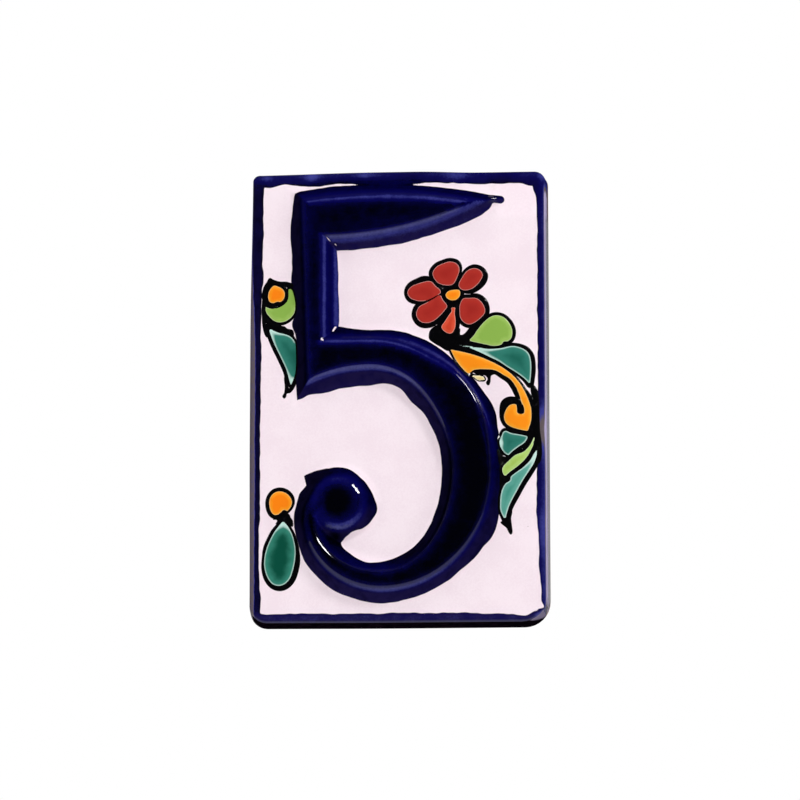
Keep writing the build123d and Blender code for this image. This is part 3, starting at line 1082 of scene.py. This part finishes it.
low_leaf = smooth_outline((
    (33.2, -13.3, 0.8), (32.3, -14.5, 0.8), (31.3, -16.2, 0.8), (29.7, -17.8, 0.8), (27.6, -19.3, 0.8),
    (26.75, -20.1, 0.8), (26.6, -20.9, 0.8), (25.4, -21.8, 0.8), (24.6, -23.5, 0.5), (24.25, -25.6, 0.5),
    (24.3, -28.2, 0.5), (25.5, -30.7, 0.7), (25.8, -29.2, 0.9), (26.5, -27.0, 1.0), (27.8, -24.4, 1.1),
    (29.4, -21.5, 1.1), (31.0, -19.0, 1.1), (32.3, -17.0, 1.0), (33.0, -15.0, 0.9),
), corners=(0, 11))
scroll_hook = (
    (17.6, 5.6), (19.0, 5.75), (20.8, 5.85), (22.6, 5.6), (23.4, 4.9), (22.3, 4.3), (22.15, 3.6),
    (22.05, 2.7), (21.6, 1.95), (21.0, 2.6), (21.4, 3.6), (20.6, 4.4), (19.0, 4.5), (18.2, 5.0),
)
low_tail = (
    (25.0, -30.5), (24.3, -30.9), (25.0, -31.7), (25.7, -32.3), (26.2, -33.3), (26.75, -33.9),
    (27.15, -33.3), (27.0, -31.6), (26.85, -30.0), (27.1, -28.3), (26.4, -27.9),
)
leaf_seam = (
    (11.8, 11.2), (13.0, 12.2), (14.6, 11.9), (16.9, 10.9), (19.2, 9.9), (22.0, 8.5), (24.0, 7.5),
    (25.2, 6.6), (24.4, 6.5), (22.0, 7.7), (19.2, 8.9), (16.4, 9.8), (14.0, 10.3),
)
leaf_tip = (
    (12.8, 11.8), (14.4, 12.5), (16.6, 12.6), (18.8, 12.1), (21.0, 11.6), (22.4, 11.2), (20.0, 11.2),
    (18.0, 11.5), (16.5, 11.7), (14.9, 11.9),
)
spray_gaps = (
    ((23.8, -13.6), (24.8, -14.7), (26.0, -15.2), (25.0, -16.8), (24.3, -17.4), (23.9, -15.8)),
    ((24.5, -19.3), (25.4, -20.1), (26.8, -20.2), (26.4, -21.1), (25.2, -21.8), (24.4, -22.6),
     (24.2, -20.8)),
)
border_smear = (
    (31.6, 2.2), (32.7, 1.6), (33.4, 0.0), (33.6, -2.0), (33.7, -5.0), (33.8, -9.0), (34.2, -12.6),
    (34.1, -15.6), (33.3, -17.0), (32.6, -15.5), (32.2, -12.4), (31.2, -10.9), (30.6, -9.4), (31.6, -8.0),
    (32.0, -3.0),
)
glaze_piece("round_leaf", green_glaze, (round_leaf,))
glaze_piece("blade", lime_glaze, (blade,))
glaze_piece("teal_leaves", leaf_glaze, (long_leaf, small_leaf), ((15.5, 11.6, 13.0), (24.2, -12.0, 2.2)))
glaze_piece("low_leaf", mint_glaze, (low_leaf,), ((33.0, -13.6, 7.0),))
glaze_piece("scroll", amber_glaze, (scroll,))
glaze_piece("scroll_glint", straw_glaze, (scroll_glint,))
line_piece("spray_lines", (round_leaf, long_leaf, scroll, scroll_glint, small_leaf, blade, low_leaf),
           (scroll_hook, low_tail, leaf_seam, leaf_tip, border_smear) + spray_gaps)

# Bud on the left: an orange ball in a green cup, over a teal leaf that hangs to a thin tail. It is
# painted in the same glazes and drawn lines, and its lines run in under the edge of the cobalt.
left_ball = smooth_outline((
    (-31.1, 24.2, 1.5), (-30.8, 25.6, 1.4), (-29.7, 26.9, 1.2), (-28.4, 26.6, 0.9), (-27.3, 25.8, 0.8),
    (-26.95, 24.6, 0.8), (-27.3, 23.4, 0.9), (-28.1, 22.8, 0.9), (-28.8, 22.9, 1.0), (-29.7, 22.55, 0.9),
    (-30.7, 22.9, 1.2),
))
cup = smooth_outline((
    (-26.25, 26.1, 0.4), (-25.35, 25.9, 0.4), (-24.6, 23.65, 0.4), (-24.4, 21.8, 0.4), (-24.7, 20.0, 0.5),
    (-26.05, 18.5, 0.6), (-27.85, 17.85, 0.7), (-29.5, 18.2, 0.8), (-30.85, 19.4, 0.8),
    (-31.6, 20.6, 0.9), (-31.65, 21.85, 0.9), (-30.3, 21.3, 0.4), (-28.5, 21.55, 0.4),
    (-26.85, 22.6, 0.4), (-26.25, 23.8, 0.4),
), corners=(0, 10))
hanging_leaf = smooth_outline((
    (-31.2, 17.55, 0.9), (-30.5, 16.5, 0.8), (-28.75, 15.55, 0.8), (-26.35, 14.85, 0.8),
    (-25.15, 14.05, 0.6), (-24.4, 12.7, 0.4), (-24.2, 9.3, 0.4), (-24.25, 6.3, 0.4), (-24.65, 4.35, 0.4),
    (-25.5, 2.3, 0.5), (-25.95, 3.9, 0.8), (-26.6, 6.3, 0.9), (-28.1, 9.6, 0.9), (-29.45, 12.4, 0.9),
    (-30.5, 15.1, 0.9),
), corners=(0, 9))
ball_peak = (
    (-32.2, 26.4), (-31.4, 27.8), (-30.7, 28.8), (-29.6, 28.3), (-28.2, 27.9), (-26.5, 27.8),
    (-25.0, 27.1), (-25.2, 26.4), (-26.6, 26.4), (-27.6, 26.3), (-29.5, 27.2), (-31.0, 25.8),
    (-32.2, 25.0),
)
bud_side = (
    (-31.4, 26.6), (-32.1, 26.2), (-32.5, 23.1), (-32.55, 20.1), (-32.35, 17.0), (-31.5, 14.4),
    (-30.7, 14.6), (-31.2, 16.6), (-31.7, 18.6), (-31.8, 21.0), (-31.7, 23.6),
)
cup_foot = (
    (-32.2, 18.6), (-31.6, 19.6), (-30.5, 18.3), (-28.8, 17.35), (-27.0, 16.9), (-26.4, 16.4),
    (-25.0, 15.9), (-25.0, 14.3), (-26.4, 14.9), (-28.7, 15.6), (-30.5, 16.5), (-31.3, 17.6),
)
leaf_tail = (
    (-26.95, 5.1), (-26.95, 2.1), (-27.1, 0.75), (-27.5, 0.0), (-27.1, -0.6), (-26.6, -0.2),
    (-26.4, 0.55), (-25.6, 0.75), (-24.65, 1.9), (-24.1, 3.5), (-24.5, 3.9), (-25.4, 2.3), (-25.95, 2.0),
    (-26.15, 3.9),
)
glaze_piece("left_ball", orange_glaze, (left_ball,))
glaze_piece("left_cup", green_glaze, (cup,))
glaze_piece("hanging_leaf", leaf_glaze, (hanging_leaf,), ((-31.4, 18.0, 8.0), (-25.4, 2.4, 5.0)))
line_piece("left_lines", (left_ball, cup, hanging_leaf), (ball_peak, bud_side, cup_foot, leaf_tail))

# Drop at the lower left: an orange ball over a teal drop, joined by a drawn neck. The teal is laid
# thicker than on the leaves, so that it fires to a deep green in the middle of the drop.
low_ball = smooth_outline((
    (-30.55, -25.9, 0.9), (-30.3, -24.4, 0.85), (-29.3, -23.25, 0.9), (-27.9, -22.9, 0.9),
    (-26.4, -23.4, 0.9), (-25.35, -24.5, 0.8), (-25.0, -25.8, 0.6), (-25.5, -27.1, 0.5),
    (-26.2, -27.8, 0.5), (-27.0, -27.5, 0.5), (-27.7, -28.1, 0.6), (-28.4, -28.6, 0.9),
    (-29.4, -28.6, 0.9), (-30.2, -27.6, 0.9),
), corners=(8,))
drop = smooth_outline((
    (-27.2, -30.0, 0.5), (-26.0, -31.3, 0.5), (-25.0, -33.1, 0.6), (-24.4, -35.1, 0.7),
    (-24.1, -37.3, 0.9), (-24.25, -39.6, 1.2), (-24.7, -41.8, 1.3), (-25.4, -43.8, 1.3),
    (-26.7, -45.2, 1.3), (-28.2, -45.6, 1.2), (-29.7, -45.1, 1.0), (-30.9, -43.5, 0.9),
    (-31.6, -41.2, 0.7), (-31.6, -38.9, 0.6), (-31.1, -36.6, 0.8), (-30.2, -34.4, 0.8),
    (-29.1, -32.4, 0.8),
), corners=(0,))
drop_neck = (
    (-29.6, -29.6), (-28.6, -29.9), (-28.9, -30.8), (-27.3, -30.4), (-25.0, -31.5), (-24.8, -30.2),
    (-25.3, -29.3), (-25.8, -28.4), (-27.0, -28.0), (-28.3, -29.0),
)
teal_glaze = pool_glaze("teal_glaze", deep=(0.003, 0.070, 0.044), middle=(0.035, 0.22, 0.16),
                        pale=(0.52, 0.74, 0.67), full_depth=2.6, pale_width=0.45)
glaze_piece("low_ball", orange_glaze, (low_ball,))
glaze_piece("drop", teal_glaze, (drop,), ((-27.2, -30.0, 4.5),))
line_piece("drop_lines", (low_ball, drop), (drop_neck,))

# Floor, light and camera: a pale floor well below the tile, soft light from the right and above, and
# the camera a little below the face and to its right, as in the photograph.
floor_z = -0.85
floor_size = 4.0
floor_pale = (0.82, 0.82, 0.82, 1)
floor_grey = (0.78, 0.78, 0.78, 1)
mirrored_front = (0.02, 0.02, 0.02, 1)
mirrored_back = (0.75, 0.75, 0.75, 1)
floor_shape = bmesh.new()
bmesh.ops.create_grid(floor_shape, x_segments=1, y_segments=1, size=floor_size)
bmesh.ops.translate(floor_shape, vec=(0, 0, floor_z), verts=floor_shape.verts)
floor_mesh = bpy.data.meshes.new("floor")
floor_shape.to_mesh(floor_mesh)
floor_shape.free()
floor = bpy.data.objects.new("floor", floor_mesh)
bpy.context.scene.collection.objects.link(floor)

# In the glaze the floor shows dark in front of the tile and pale beyond it, so that the flats stay deep.
floor_finish, wire, place = new_material("pale_floor")
paper = blend(wire, grain(wire, place, 40), floor_grey, floor_pale)
matt = wire.node("ShaderNodeBsdfDiffuse", {}, {"Color": paper}, "BSDF")
shown = blend(wire, ramp(wire, along_axis(wire, place, "Y"), -750, -250), mirrored_front, mirrored_back)
bright = wire.node("ShaderNodeEmission", {}, {"Color": shown, "Strength": 1.0}, "Emission")
glossy = wire.node("ShaderNodeLightPath", {}, {}, "Is Glossy Ray")
wire.node("ShaderNodeOutputMaterial", {}, {
    "Surface": wire.node("ShaderNodeMixShader", {}, {0: glossy, 1: matt, 2: bright}, "Shader")}, None)
floor_mesh.materials.append(floor_finish)


def soft_lamp(name, direction, distance, size, power, mirrored=False):
    """A square soft lamp that faces the tile, and either lights it or is only mirrored in its glaze."""
    lamp = bpy.data.lights.new(name, "AREA")
    lamp.size = size
    lamp.energy = power
    holder = bpy.data.objects.new(name, lamp)
    toward = Vector(direction).normalized()
    holder.location = toward * distance
    holder.rotation_euler = toward.to_track_quat("Z", "Y").to_euler()
    holder.visible_glossy = mirrored
    holder.visible_diffuse = not mirrored
    bpy.context.scene.collection.objects.link(holder)


key_direction = (0.56, -0.57, 0.60)
soft_lamp("key_lamp", key_direction, distance=1.0, size=0.1, power=2.4)
soft_lamp("key_glint", key_direction, distance=1.0, size=0.27, power=14.0, mirrored=True)
soft_lamp("low_lamp", (-0.05, -0.80, -0.60), distance=1.0, size=0.5, power=1.7)
soft_lamp("top_lamp", (0.10, -0.68, 0.72), distance=1.3, size=1.0, power=5.5)
soft_lamp("right_lamp", (0.78, -0.62, 0.05), distance=1.3, size=1.0, power=5.0)
soft_lamp("left_lamp", (-0.76, -0.64, 0.10), distance=1.3, size=1.0, power=5.4)

room_grey = (0.25, 0.25, 0.25, 1)
dark_front = (0.008, 0.008, 0.008, 1)
dim_side = (0.06, 0.06, 0.06, 1)
pale_side = (0.2, 0.2, 0.2, 1)
white = (1, 1, 1, 1)
world = bpy.data.worlds.new("studio")
world.use_nodes = True
world.node_tree.nodes.clear()
bpy.context.scene.world = world
wire = Wire(world.node_tree)
direction = wire.node("ShaderNodeTexCoord", {}, {}, "Generated")
behind = along_axis(wire, direction, "Y")
aside = along_axis(wire, direction, "X")
seen = wire.node("ShaderNodeLightPath", {}, {}, "Is Camera Ray")
through = wire.node("ShaderNodeLightPath", {}, {}, "Is Transmission Ray")
glossy = wire.node("ShaderNodeLightPath", {}, {}, "Is Glossy Ray")
mirrored = blend(wire, ramp(wire, aside, -0.4, 0.5), dim_side, pale_side)
mirrored = blend(wire, ramp(wire, behind, -0.35, -0.1), dark_front, mirrored)
mirrored = blend(wire, ramp(wire, behind, 0.94, 1.10), mirrored, white)
glow = blend(wire, glossy, room_grey, mirrored)
glow = blend(wire, seen + through, glow, white)
wire.node("ShaderNodeOutputWorld", {}, {
    "Surface": wire.node("ShaderNodeBackground", {}, {"Color": glow, "Strength": 1.0}, "Background")}, None)

camera_side = math.radians(4.0)
camera_rise = math.radians(-10.5)
camera_distance = 1.045
camera_aim = Vector((0, 0, 0.2 * mm))
camera_data = bpy.data.cameras.new("camera")
camera_data.lens = 196.5
camera_data.sensor_width = 36
camera = bpy.data.objects.new("camera", camera_data)
away = Vector((math.sin(camera_side) * math.cos(camera_rise),
               -math.cos(camera_side) * math.cos(camera_rise), math.sin(camera_rise)))
camera.location = camera_aim + away * camera_distance
camera.rotation_euler = away.to_track_quat("Z", "Y").to_euler()
bpy.context.scene.collection.objects.link(camera)
bpy.context.scene.camera = camera
bpy.context.scene.view_settings.view_transform = "Standard"
